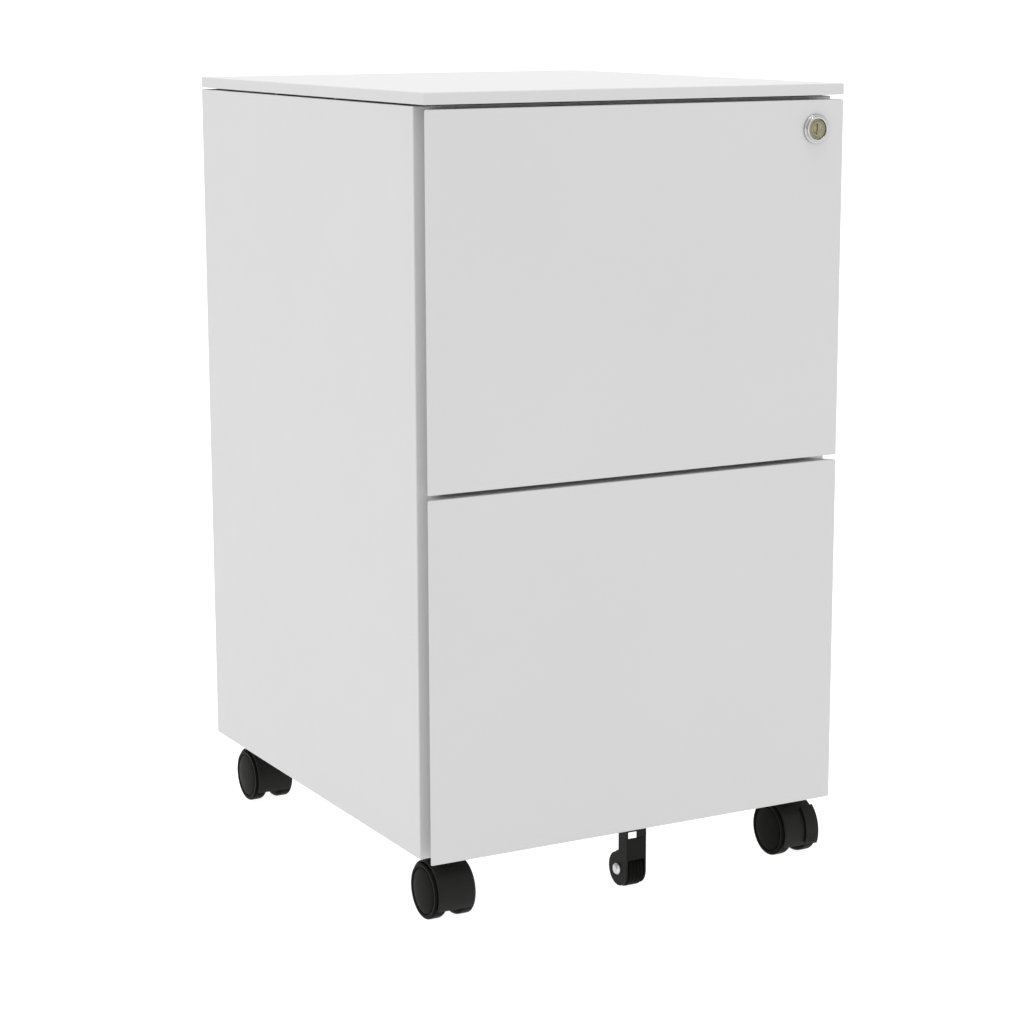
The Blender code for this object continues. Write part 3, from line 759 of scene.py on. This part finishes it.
def row_tree(name, head, finish):
    """A tree that sets a row of heads out along a line. head adds one head's nodes."""
    tree = bpy.data.node_groups.new(name, "GeometryNodeTree")
    graph = Graph(tree)
    sockets = (
        ("Count", "NodeSocketInt"),
        ("Start", "NodeSocketVector"),
        ("Step", "NodeSocketVector"),
        ("Turn", "NodeSocketVector"),
        ("Radius", "NodeSocketFloat"),
        ("Height", "NodeSocketFloat"),
    )
    for label, kind in sockets:
        tree.interface.new_socket(label, in_out="INPUT", socket_type=kind)
    tree.interface.new_socket("Geometry", in_out="OUTPUT", socket_type="NodeSocketGeometry")
    source = tree.nodes.new("NodeGroupInput")
    given = {label: Value(graph, source.outputs[label]) for label, _ in sockets}
    line = graph.node(
        "GeometryNodeMeshLine",
        {"mode": "OFFSET"},
        {"Count": given["Count"], "Start Location": given["Start"], "Offset": given["Step"]},
    )
    copies = graph.node(
        "GeometryNodeInstanceOnPoints",
        None,
        {"Points": line, "Instance": head(graph, given), "Rotation": given["Turn"]},
    )
    real = graph.node("GeometryNodeRealizeInstances", None, {"Geometry": copies})
    smooth = graph.node("GeometryNodeSetShadeSmooth", None, {0: real})
    painted = graph.node(
        "GeometryNodeSetMaterial", None, {"Geometry": smooth, "Material": coated(finish)}
    )
    sink = tree.nodes.new("NodeGroupOutput")
    graph.feed(sink.inputs["Geometry"], painted)
    return tree


def domed_head(graph, given):
    """A rivet's low dome."""
    ball = graph.node(
        "GeometryNodeMeshUVSphere",
        None,
        {"Segments": 20, "Rings": 10, "Radius": given["Radius"]},
    )
    flat = graph.node(
        "ShaderNodeCombineXYZ", None, {"X": 1.0, "Y": 1.0, "Z": given["Height"] / given["Radius"]}
    )
    return graph.node("GeometryNodeTransform", None, {"Geometry": ball, "Scale": flat})


def ball_head(graph, given):
    """A bearing ball."""
    return graph.node(
        "GeometryNodeMeshIcoSphere", None, {"Radius": given["Radius"], "Subdivisions": 2}
    )


def disc_head(graph, given):
    """A round buffer."""
    return graph.node(
        "GeometryNodeMeshCylinder",
        None,
        {"Vertices": 28, "Radius": given["Radius"], "Depth": given["Height"]},
    )


def row(tree, count, start, step, turn, radius, height):
    """The plain mesh of one row that a tree makes."""
    obj = draft(bpy.data.meshes.new("row"))
    modifier = obj.modifiers.new("row", "NODES")
    modifier.node_group = tree
    values = {
        "Count": count,
        "Start": tuple(start),
        "Step": tuple(step),
        "Turn": tuple(turn),
        "Radius": radius,
        "Height": height,
    }
    for item in tree.interface.items_tree:
        if item.name in values:
            modifier[item.identifier] = values[item.name]
    return baked(obj)


# ---------------------------------------------------------------- operators


class PieceOperator(bpy.types.Operator):
    """Base of the operators that make pieces."""

    bl_options = {"REGISTER", "UNDO"}

    def execute(self, context):
        self.build()
        return {"FINISHED"}


class CABINET_OT_panels(PieceOperator):
    """Make the top and the side panels as folded pans"""

    bl_idname = "cabinet.panels"
    bl_label = "Top and sides"

    def build(self):
        fold = setting("sheet").fold
        low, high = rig.box("top_panel")
        mesh = pan(low, high, (Z, -1), fold)
        piece("cabinet_top", mesh, "powder_coat", "case", "top_panel")
        for side, sign in SIDES.items():
            node = "side_panel_" + side
            low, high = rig.box(node)
            mesh = pan(low, high, (X, -sign), fold)
            piece("cabinet_side_" + side, mesh, "powder_coat", "case", node)


class CABINET_OT_carcass(PieceOperator):
    """Finish the back, base, rails, posts and stiffener"""

    bl_idname = "cabinet.carcass"
    bl_label = "Back, base and rails"

    def build(self):
        for node in ("back_panel", "base_panel", "top_rail", "mid_rail"):
            keep(node, "powder_coat")
        keep("top_stiffener", "zinc_plate")
        for side in SIDES:
            for end in ("front", "rear"):
                keep("slide_post_" + side + "_" + end, "zinc_plate")


class CABINET_OT_drawers(PieceOperator):
    """Make the drawer fronts with their slanted grips, the liners and the trays"""

    bl_idname = "cabinet.drawers"
    bl_label = "Drawers"

    def build(self):
        sheet = setting("sheet")
        for level in LEVELS:
            body = "drawer_" + level
            node = "drawer_front_" + level
            low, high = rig.box(node)
            corners = [vert.co for vert in frame["nodes"][node].data.vertices]
            lean = high.x - max(corner.x for corner in corners if corner.y > high.y - MERGE)
            mesh = pan(low, high, (Y, 1), sheet.front_fold, lean)
            piece("front_" + level, mesh, "powder_coat", body, node)

            low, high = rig.box("front_liner_" + level)
            mesh = pan(low, high, (Y, -1), sheet.fold)
            piece("liner_" + level, mesh, "powder_coat", body, "front_liner_" + level)

            low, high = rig.box("drawer_tray_" + level)
            tray = pan(low, high, (Z, 1), sheet.fold)
            slots = self.floor_slots(low, high)
            mesh = smoothed(cut(tray, slots), sharp=35)
            piece("tray_" + level, mesh, "powder_coat", body, "drawer_tray_" + level)
            piece("tray_rim_" + level, self.rim(low, high), "powder_coat", body)

    def floor_slots(self, low, high):
        """Two rows of slots in the floor, which take dividers."""
        count = setting("fixings").slots
        places, margin, length, width = (-0.07, 0.07), 0.035, 0.030, 0.003
        step = (high.y - low.y - 2 * margin) / (count - 1)
        start, end = low.z - 0.001, low.z + 0.002
        meshes = []
        for x in places:
            for i in range(count):
                y = low.y + margin + i * step
                ends = arc((x + length / 2, y), width / 2, -pi / 2, pi / 2, 6)
                ends += arc((x - length / 2, y), width / 2, pi / 2, 3 * pi / 2, 6)
                meshes.append(plate(ends, Z, start, end))
        return joined(meshes)

    def rim(self, low, high):
        """The rolled edge round the top of a tray."""
        hem = setting("sheet").hem
        inset = setting("sheet").wall / 2
        corner = 0.003
        curve = bpy.data.curves.new("rim", "CURVE")
        curve.dimensions = "3D"
        curve.bevel_depth = hem
        curve.bevel_resolution = 4
        spline = curve.splines.new("POLY")
        points = []
        for x, y, start in (
            (high.x, high.y, 0),
            (low.x, high.y, pi / 2),
            (low.x, low.y, pi),
            (high.x, low.y, 3 * pi / 2),
        ):
            middle = (
                x - (corner + inset) * (1 if x > 0 else -1),
                y - (corner + inset) * (1 if y > 0 else -1),
            )
            points += arc(middle, corner, start, start + pi / 2, 5)
        spline.points.add(len(points) - 1)
        spline.use_cyclic_u = True
        for point, (x, y) in zip(spline.points, points):
            point.co = (x, y, high.z - hem, 1)
        mesh = baked(draft(curve))
        mesh.shade_smooth()
        return mesh


class CABINET_OT_slides(PieceOperator):
    """Finish the slides' members and set their balls out in rows"""

    bl_idname = "cabinet.slides"
    bl_label = "Slides"
    wall = 0.0012  # of a member

    def build(self):
        fixings = setting("fixings")
        tree = row_tree("bearing_balls", ball_head, "zinc_plate")
        for level in LEVELS:
            rows = []
            for side in SIDES:
                for member in ("outer", "middle", "inner"):
                    keep("_".join(("slide", member, level, side)), "zinc_plate", 0.0002)
                ends = level + "_" + side
                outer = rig.box("slide_outer_" + ends)
                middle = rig.box("slide_middle_" + ends)
                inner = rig.box("slide_inner_" + ends)
                x = centre("slide_middle_" + ends).x
                length = middle[1].y - middle[0].y
                bare = length / 3  # of it has no balls
                step = (length - bare) / (fixings.balls - 1)
                gaps = (
                    (outer[0].z + self.wall + middle[0].z) / 2,
                    (outer[1].z - self.wall + middle[1].z) / 2,
                    (middle[0].z + self.wall + inner[0].z) / 2,
                    (middle[1].z - self.wall + inner[1].z) / 2,
                )
                for z in gaps:
                    rows.append(
                        row(
                            tree,
                            fixings.balls,
                            (x, middle[0].y + bare / 4, z),
                            (0, step, 0),
                            (0, 0, 0),
                            fixings.ball_radius,
                            fixings.ball_radius,
                        )
                    )
            piece("slide_balls_" + level, joined(rows), "zinc_plate", "slide_carriage_" + level)


class CABINET_OT_lock(PieceOperator):
    """Make the cam lock's chrome housing, brass plug, nut and cam, and the lock bar"""

    bl_idname = "cabinet.lock"
    bl_label = "Lock"

    spindle = 0.003  # radius of the plug's rear end
    plug_dish = ((0, 0.0009), (0.0034, 0.0008), (0.0044, 0))  # radius, depth
    plug_groove = ((0.0022, 0), (0.0019, 0.0004), (0.0013, 0.0004), (0.0010, 0))  # inset, depth

    def build(self):
        low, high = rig.box("lock_plug")
        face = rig.box("drawer_front_upper")[0].y
        middle = Vector((*centre("lock_plug").xz, face)).xzy
        head = (high.x - low.x) / 2
        bore = head - 0.0005
        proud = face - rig.box("lock_housing")[0].y
        floor = 0.0030 - proud  # of the plug's seat
        self.housing(middle, head, bore, proud, floor)
        self.plug(middle, head, bore, floor)
        keep("lock_nut", "zinc_plate")
        self.cam(middle)
        for node in ("lock_bar", "lock_catch"):
            keep(node, "zinc_plate")

    def housing(self, middle, head, bore, proud, floor):
        """The housing: its stepped trim ring and its barrel. Depths are from the front."""
        low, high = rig.box("lock_housing")
        radius = (high.x - low.x) / 2
        barrel = radius - 0.0027
        rear, lift = high.y - middle.y, 0.0002
        lip, bevel, rim = 0.0006, 0.0003, 0.0007
        seat = head + CLEARANCE
        step, terrace = seat + 0.0019, 0.0014 - proud
        profile = [
            (bore, rear),
            (bore, floor),
            (seat, floor),
            (seat, lip - proud),
            *arc((seat + lip, lip - proud), lip, pi, 3 * pi / 2, 4),
            *arc((step - lip, lip - proud), lip, 3 * pi / 2, 2 * pi, 4),
            (step, terrace),
            (step + bevel, terrace + bevel),
            *arc((radius - rim, terrace + bevel + rim), rim, 3 * pi / 2, 2 * pi, 4),
            (radius, -lift),
            (barrel, -lift),
            (barrel, rear),
        ]
        mesh = smoothed(turned(profile, Y, middle, 96, closed=True), sharp=40)
        piece("lock_trim", mesh, "chrome_plate", "drawer_upper", "lock_housing")

    def plug(self, middle, head, bore, floor):
        """The plug: its dished and grooved face, its body, its spindle and its keyway."""
        lock = setting("lock")
        face, end = (corner.y - middle.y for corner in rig.box("lock_plug"))
        shaft = bore - CLEARANCE
        shaft_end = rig.box("lock_cam")[0].y - middle.y - CLEARANCE
        bevel = 0.0003
        profile = [(radius, face + depth) for radius, depth in self.plug_dish]
        profile += [(head - inset, face + depth) for inset, depth in self.plug_groove]
        profile += [(head - bevel, face), (head, face + bevel), (head, floor - CLEARANCE)]
        profile += [(shaft, floor - CLEARANCE), (shaft, shaft_end)]
        profile += [(self.spindle, shaft_end), (self.spindle, end), (0, end)]
        width, height = lock.keyway_width / 2, lock.keyway_height / 2
        notch, ledge = -width * 0.4, -height * 0.35
        across = arc((0, height - width), width, 0, pi, 10)
        across += [(-width, -height), (notch, -height), (notch, ledge), (width, ledge)]
        outline = [(middle.x + x, middle.z + z) for x, z in across]
        start = middle.y + face
        keyway = plate(outline, Y, start - 0.001, start + lock.keyway_depth)
        mesh = smoothed(cut(turned(profile, Y, middle, 72), keyway), sharp=30)
        piece("lock_barrel_plug", mesh, "dull_brass", "lock_cylinder", "lock_plug")

    def cam(self, middle):
        """The cam, round at its far end and cut to the plug's spindle."""
        low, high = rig.box("lock_cam")
        half, corner = (high.z - low.z) / 2, 0.001
        outline = arc((low.x + half, middle.z), half, pi / 2, 3 * pi / 2, 16)
        outline += [(high.x - corner, low.z), (high.x, low.z + corner)]
        outline += [(high.x, high.z - corner), (high.x - corner, high.z)]
        place = (middle.x, (low.y + high.y) / 2, middle.z)
        hole = rod(Y, place, self.spindle + 0.0001, 0.01)
        mesh = smoothed(cut(plate(outline, Y, low.y, high.y), hole), 0.0003)
        piece("cam", mesh, "zinc_plate", "lock_cylinder", "lock_cam")


class CABINET_OT_castors(PieceOperator):
    """Make the twin-wheel castors: stems, hoods, axles and wheels"""

    bl_idname = "cabinet.castors"
    bl_label = "Castors"
    rear_drop = 0.0059  # rear edge of a hood, below its axle
    neck = ((-0.001, 0), (0, 0.001), (0, 0.004), (0.0005, 0.0052), (0.0012, 0.0062))  # out, down
    cover = (  # share of the wheel's radius, and how far out of its face
        (0, 0.0007),
        (0.25, 0.00065),
        (0.50, 0.00045),
        (0.72, 0.00005),
        (0.80, -0.0004),
        (0.815, -0.0011),
        (0.835, -0.0011),
        (0.85, -0.0002),
    )
    hollow = ((0.74, 0), (0.72, 0.006), (0.30, 0.006), (0.28, 0.0005), (0, 0.0005))  # its back

    def build(self):
        for corner in CORNERS:
            self.hood(corner)
            self.stem(corner)
            keep("caster_axle_" + corner, "zinc_plate", 0)
            for side, sign in SIDES.items():
                self.wheel(corner, side, sign)
        self.brake()

    def hood(self, corner):
        """A hood: its shell, the web that holds the axle, and the neck for the stem."""
        castors = setting("castors")
        node = "caster_hood_" + corner
        low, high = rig.box(node)
        axle = centre("caster_axle_" + corner)
        stem = centre("caster_stem_" + corner)
        radius = axle.y - low.y
        middle = (axle.y, axle.z)
        start = asin(-self.rear_drop / radius)
        end = pi - asin((low.z - axle.z) / radius)
        edge = 0.0004
        shell = bent_strip(
            middle, radius, low.x, high.x, start, end, castors.hood_edge, steps=64
        )
        shell = thick(shell, castors.hood_wall, edge)
        inner = radius - castors.hood_wall / 2
        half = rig.box("caster_wheel_" + corner + "_right")[0].x - axle.x - 0.0004
        outline = arc(middle, inner, start, end, 48)
        web = smoothed(plate(outline, X, axle.x - half, axle.x + half), edge)
        neck_radius, neck_end = 0.008, axle.z + 0.004
        profile = [(0, high.z)] + [(neck_radius + out, high.z - down) for out, down in self.neck]
        profile += [(profile[-1][0], neck_end), (0, neck_end)]
        neck = turned(profile, Z, (stem.x, stem.y, 0), 48)
        neck = smoothed(cut(neck, rod(X, axle, inner, 0.08, 96)))
        piece("hood_" + corner, joined([shell, web, neck]), "black_nylon", body_of(node), node)

    def stem(self, corner):
        """A zinc stem: its collar, and its thread above the base."""
        node = "caster_stem_" + corner
        low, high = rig.box(node)
        place = centre(node)
        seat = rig.box("caster_hood_" + corner)[1].z + CLEARANCE
        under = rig.box("base_panel")[1].z - setting("sheet").wall - CLEARANCE
        pin, collar, bevel = 0.0034, (high.x - low.x) / 2, 0.0006
        thread, root, pitch = 0.005, 0.0005, 0.00125
        profile = [(0, low.z), (pin, low.z), (pin, seat), (collar - bevel, seat)]
        profile += [(collar, seat + bevel), (collar, under - bevel), (collar - bevel, under)]
        for turn in range(int((high.z - under) / pitch)):
            z = under + turn * pitch
            profile += [(thread - root, z), (thread, z + pitch / 2)]
        profile += [(thread - 0.0008, high.z), (0, high.z)]
        mesh = smoothed(turned(profile, Z, (place.x, place.y, 0), 40), sharp=40)
        piece("stem_" + corner, mesh, "zinc_plate", "case", node)

    def wheel(self, corner, side, sign):
        """One wheel: its crowned tread, the cover in its outer face and its hollow back."""
        node = "_".join(("caster_wheel", corner, side))
        low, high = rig.box(node)
        place = centre(node)
        radius = (high.z - low.z) / 2
        width = high.x - low.x
        shoulder, flank = 0.0016, 0.0045
        outer = [(radius * share, along) for share, along in self.cover]
        outer += [(radius - shoulder, 0.0)]
        outer += arc((radius - shoulder, -shoulder), shoulder, pi / 2, 0, 5)[1:]
        outer += arc((radius - flank, flank - width), flank, 0, -pi / 2, 8)
        outer += [(radius * share, depth - width) for share, depth in self.hollow]
        profile = [(r, sign * (along + width / 2)) for r, along in outer]
        mesh = smoothed(turned(profile, X, place, 96), sharp=40)
        piece("wheel_" + corner + "_" + side, mesh, "tyre_nylon", body_of(node), node)

    def brake(self):
        """The ribbed lever that rides round the hood of the front right castor."""
        low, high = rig.box("brake_lever")
        axle = centre("caster_axle_front_right")
        middle = (axle.y, axle.z)
        inner = axle.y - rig.box("caster_hood_front_right")[0].y + CLEARANCE
        corners = [vert.co for vert in frame["nodes"]["brake_lever"].data.vertices]
        outer = max((corner.yz - axle.yz).length for corner in corners)
        start = pi - asin((high.z - axle.z) / outer)
        end = pi - asin((low.z - axle.z) / inner)
        strip = bent_strip(middle, outer - 0.0006, low.x, high.x, start, end, 0.0008, 32)
        lever = thick(strip, 0.0020, 0.0005)
        count, first, step = 4, 0.74, 0.06  # ribs, and their places as shares of the lever
        radius, length, x = 0.0005, high.x - low.x - 0.006, (low.x + high.x) / 2
        ribs = []
        for i in range(count):
            a = start + (end - start) * (first + step * i)
            y, z = arc(middle, outer - 0.0007, a, a, 1)[0]
            ribs.append(rod(X, (x, y, z), radius, length, 12))
        mesh = joined([lever] + [smoothed(rib) for rib in ribs])
        piece("brake_pedal", mesh, "black_nylon", "brake", "brake_lever")


class CABINET_OT_stabiliser(PieceOperator):
    """Make the stabilising wheel, its fork bracket and its bolt"""

    bl_idname = "cabinet.stabiliser"
    bl_label = "Stabilising wheel"

    sheet = 0.0016  # of the fork

    def build(self):
        wheel = centre("stabiliser_wheel")
        low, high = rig.box("stabiliser_wheel")
        radius = (high.z - low.z) / 2
        self.fork(wheel, radius)
        self.wheel(wheel, radius, (high.x - low.x) / 2)
        self.bolt(wheel)

    def fork(self, wheel, radius):
        """The bent bracket: two lobed sides, a web with a window, and a roof."""
        low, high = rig.box("stabiliser_bracket")
        sheet, face, inner = self.sheet, low.y, high.x - self.sheet
        roof, window = high.z - sheet, 0.0060
        lobe = high.y - wheel.y
        back = face + 0.0132
        web_end = wheel.z + radius - 0.005
        turn = 2 * pi + pi / 2 + asin((wheel.y - back) / lobe)
        outline = [(face, high.z)] + arc(wheel.yz, lobe, pi, turn, 56) + [(back, high.z)]
        cutters = (
            block((-inner, face + sheet, -inner), (inner, back + lobe, roof)),
            block((-inner, face - sheet, -inner), (inner, back + lobe, web_end)),
            block((-inner, face - sheet, roof - window), (inner, face + 2 * sheet, roof)),
        )
        mesh = cut(plate(outline, X, low.x, high.x), *(made(cutter) for cutter in cutters))
        piece("fork", smoothed(mesh, 0.0004), "black_coat", "drawer_lower", "stabiliser_bracket")

    def wheel(self, wheel, radius, half):
        """The small wheel: recessed sides, and three grooves round its tread."""
        hub, recess, bevel = 0.0060, 0.0012, 0.0010
        profile = [(0.0034, -half), (hub, -half), (hub + 0.0002, recess - half)]
        profile += [(radius * 0.80, recess - half), (radius * 0.82, -half)]
        profile += [(radius - bevel, -half), (radius, bevel - half)]
        far_side = [(r, -along) for r, along in reversed(profile)]
        groove = ((-0.0006, 0), (-0.0002, 0.0005), (0.0002, 0.0005), (0.0006, 0))
        for x in (-0.0034, 0.0, 0.0034):
            profile += [(radius - depth, x + along) for along, depth in groove]
        mesh = smoothed(turned(profile + far_side, X, wheel, 72, closed=True), sharp=35)
        piece("small_wheel", mesh, "tyre_nylon", "stabiliser", "stabiliser_wheel")

    def bolt(self, wheel):
        """The bolt through the fork, with its domed head on the left."""
        low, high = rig.box("stabiliser_axle")
        head, shank, bevel = (high.z - low.z) / 2, 0.0028, 0.0003
        start, end, seat = low.x, high.x, -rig.box("stabiliser_bracket")[1].x - 0.0002
        profile = [(0, start), (head * 0.45, start + 0.0002), (head * 0.80, start + 0.0008)]
        profile += [(head, start + 0.0020), (head, seat), (shank, seat)]
        profile += [(shank, end - bevel), (shank - bevel, end), (0, end)]
        mesh = smoothed(turned(profile, X, (0, wheel.y, wheel.z), 48), sharp=40)
        piece("fork_bolt", mesh, "zinc_plate", "drawer_lower", "stabiliser_axle")


class CABINET_OT_fixings(PieceOperator):
    """Set out the rivets of the back and the rubber buffers behind the fronts"""

    bl_idname = "cabinet.fixings"
    bl_label = "Rivets and buffers"

    def build(self):
        self.rivets(setting("fixings"))
        self.buffers(setting("fixings"))

    def rivets(self, fixings):
        """A row of rivets down each edge of the back."""
        tree = row_tree("rivets", domed_head, "powder_coat")
        count, margin, height = fixings.rivets, 0.05, 0.0009
        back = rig.box("back_panel")[1].y
        rows = []
        for side in SIDES:
            low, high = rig.box("side_panel_" + side)
            start = ((low.x + high.x) / 2, back, low.z + margin)
            step = (0, 0, (high.z - low.z - 2 * margin) / (count - 1))
            turn = (pi / 2, 0, 0)
            rows.append(row(tree, count, start, step, turn, fixings.rivet_radius, height))
        piece("back_rivets", joined(rows), "powder_coat", "case")

    def buffers(self, fixings):
        """Two buffers on the case behind each long edge of the fronts."""
        tree = row_tree("buffers", disc_head, "buffer_rubber")
        reach, inset, height = 0.160, 0.0045, 0.0011
        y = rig.box("mid_rail")[0].y - height / 2
        rows = []
        for level in LEVELS:
            low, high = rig.box("front_liner_" + level)
            for z in (low.z + inset, high.z - inset):
                start, step, turn = (-reach, y, z), (2 * reach, 0, 0), (pi / 2, 0, 0)
                rows.append(row(tree, 2, start, step, turn, fixings.buffer_radius, height))
        mesh = smoothed(joined(rows), sharp=40)
        piece("front_buffers", mesh, "buffer_rubber", "case")


class CABINET_OT_stage(PieceOperator):
    """Set up the floor, the studio light and the camera"""

    bl_idname = "cabinet.stage"
    bl_label = "Stage"

    floor_reach = 300
    sun = {"energy": 2.05, "angle": radians(40)}
    sun_lean = radians(-5)
    lens = {"lens": 92.14, "sensor_width": 36, "clip_end": 2000}
    camera_place = (-1.0966, -2.0245, 0.7446)
    camera_turns = (radians(-28.477), radians(90 - 11.221), radians(-0.151))  # yaw, tilt, roll

    def build(self):
        scene = bpy.context.scene
        size = self.floor_reach
        floor = draft(made(block((-size, -size, -0.02), (size, size, 0))))
        floor.name = "studio_floor"
        floor.data.materials.append(coated("studio_floor"))
        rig.stage(floor)

        world = bpy.data.worlds.new("studio")
        world.use_nodes = True
        light = world.node_tree.nodes["Background"]
        light.inputs["Color"].default_value = (1, 1, 1, 1)
        light.inputs["Strength"].default_value = 1.0
        scene.world = world
        scene.view_settings.view_transform = "Standard"

        sun = self.placed("overhead", bpy.data.lights.new("overhead", "SUN"), self.sun)
        sun.rotation_euler.y = self.sun_lean
        scene.camera = self.placed("camera", bpy.data.cameras.new("camera"), self.lens)
        yaw, tilt, roll = self.camera_turns
        scene.camera.matrix_world = (
            Matrix.Translation(self.camera_place)
            @ Matrix.Rotation(yaw, 4, "Z")
            @ Matrix.Rotation(tilt, 4, "X")
            @ Matrix.Rotation(roll, 4, "Z")
        )

    def placed(self, name, data, values):
        """A linked object for a lamp or camera, once its values are set."""
        for key, value in values.items():
            setattr(data, key, value)
        obj = bpy.data.objects.new(name, data)
        bpy.context.scene.collection.objects.link(obj)
        return obj


OPERATORS = (
    CABINET_OT_panels,
    CABINET_OT_carcass,
    CABINET_OT_drawers,
    CABINET_OT_slides,
    CABINET_OT_lock,
    CABINET_OT_castors,
    CABINET_OT_stabiliser,
    CABINET_OT_fixings,
    CABINET_OT_stage,
)


class CABINET_PT_pieces(bpy.types.Panel):
    """The cabinet's pieces and their sizes"""

    bl_label = "Filing cabinet"
    bl_idname = "CABINET_PT_pieces"
    bl_space_type = "VIEW_3D"
    bl_region_type = "UI"
    bl_category = "Cabinet"

    def draw(self, context):
        for operator in OPERATORS:
            self.layout.operator(operator.bl_idname)
        for name, group in SETTINGS.items():
            values = getattr(context.scene, name)
            for field in group.__annotations__:
                self.layout.prop(values, field)


def register():
    """Register the settings, operators and panel."""
    for group in SETTINGS.values():
        bpy.utils.register_class(group)
    for name, group in SETTINGS.items():
        setattr(bpy.types.Scene, name, PointerProperty(type=group))
    for operator in OPERATORS:
        bpy.utils.register_class(operator)
    bpy.utils.register_class(CABINET_PT_pieces)


def unregister():
    """Undo register()."""
    bpy.utils.unregister_class(CABINET_PT_pieces)
    for operator in reversed(OPERATORS):
        bpy.utils.unregister_class(operator)
    for name, group in reversed(SETTINGS.items()):
        delattr(bpy.types.Scene, name)
        bpy.utils.unregister_class(group)


def main():
    register()
    for operator in OPERATORS:
        getattr(bpy.ops.cabinet, operator.bl_idname.split(".")[1])()
    boxes = [[list(corner) for corner in box] for box in (CAD_BOUNDS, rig.bounds())]
    with open("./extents.json", "w") as out:
        json.dump({"cad": boxes[0], "visual": boxes[1]}, out)


if __name__ == "__main__":
    main()
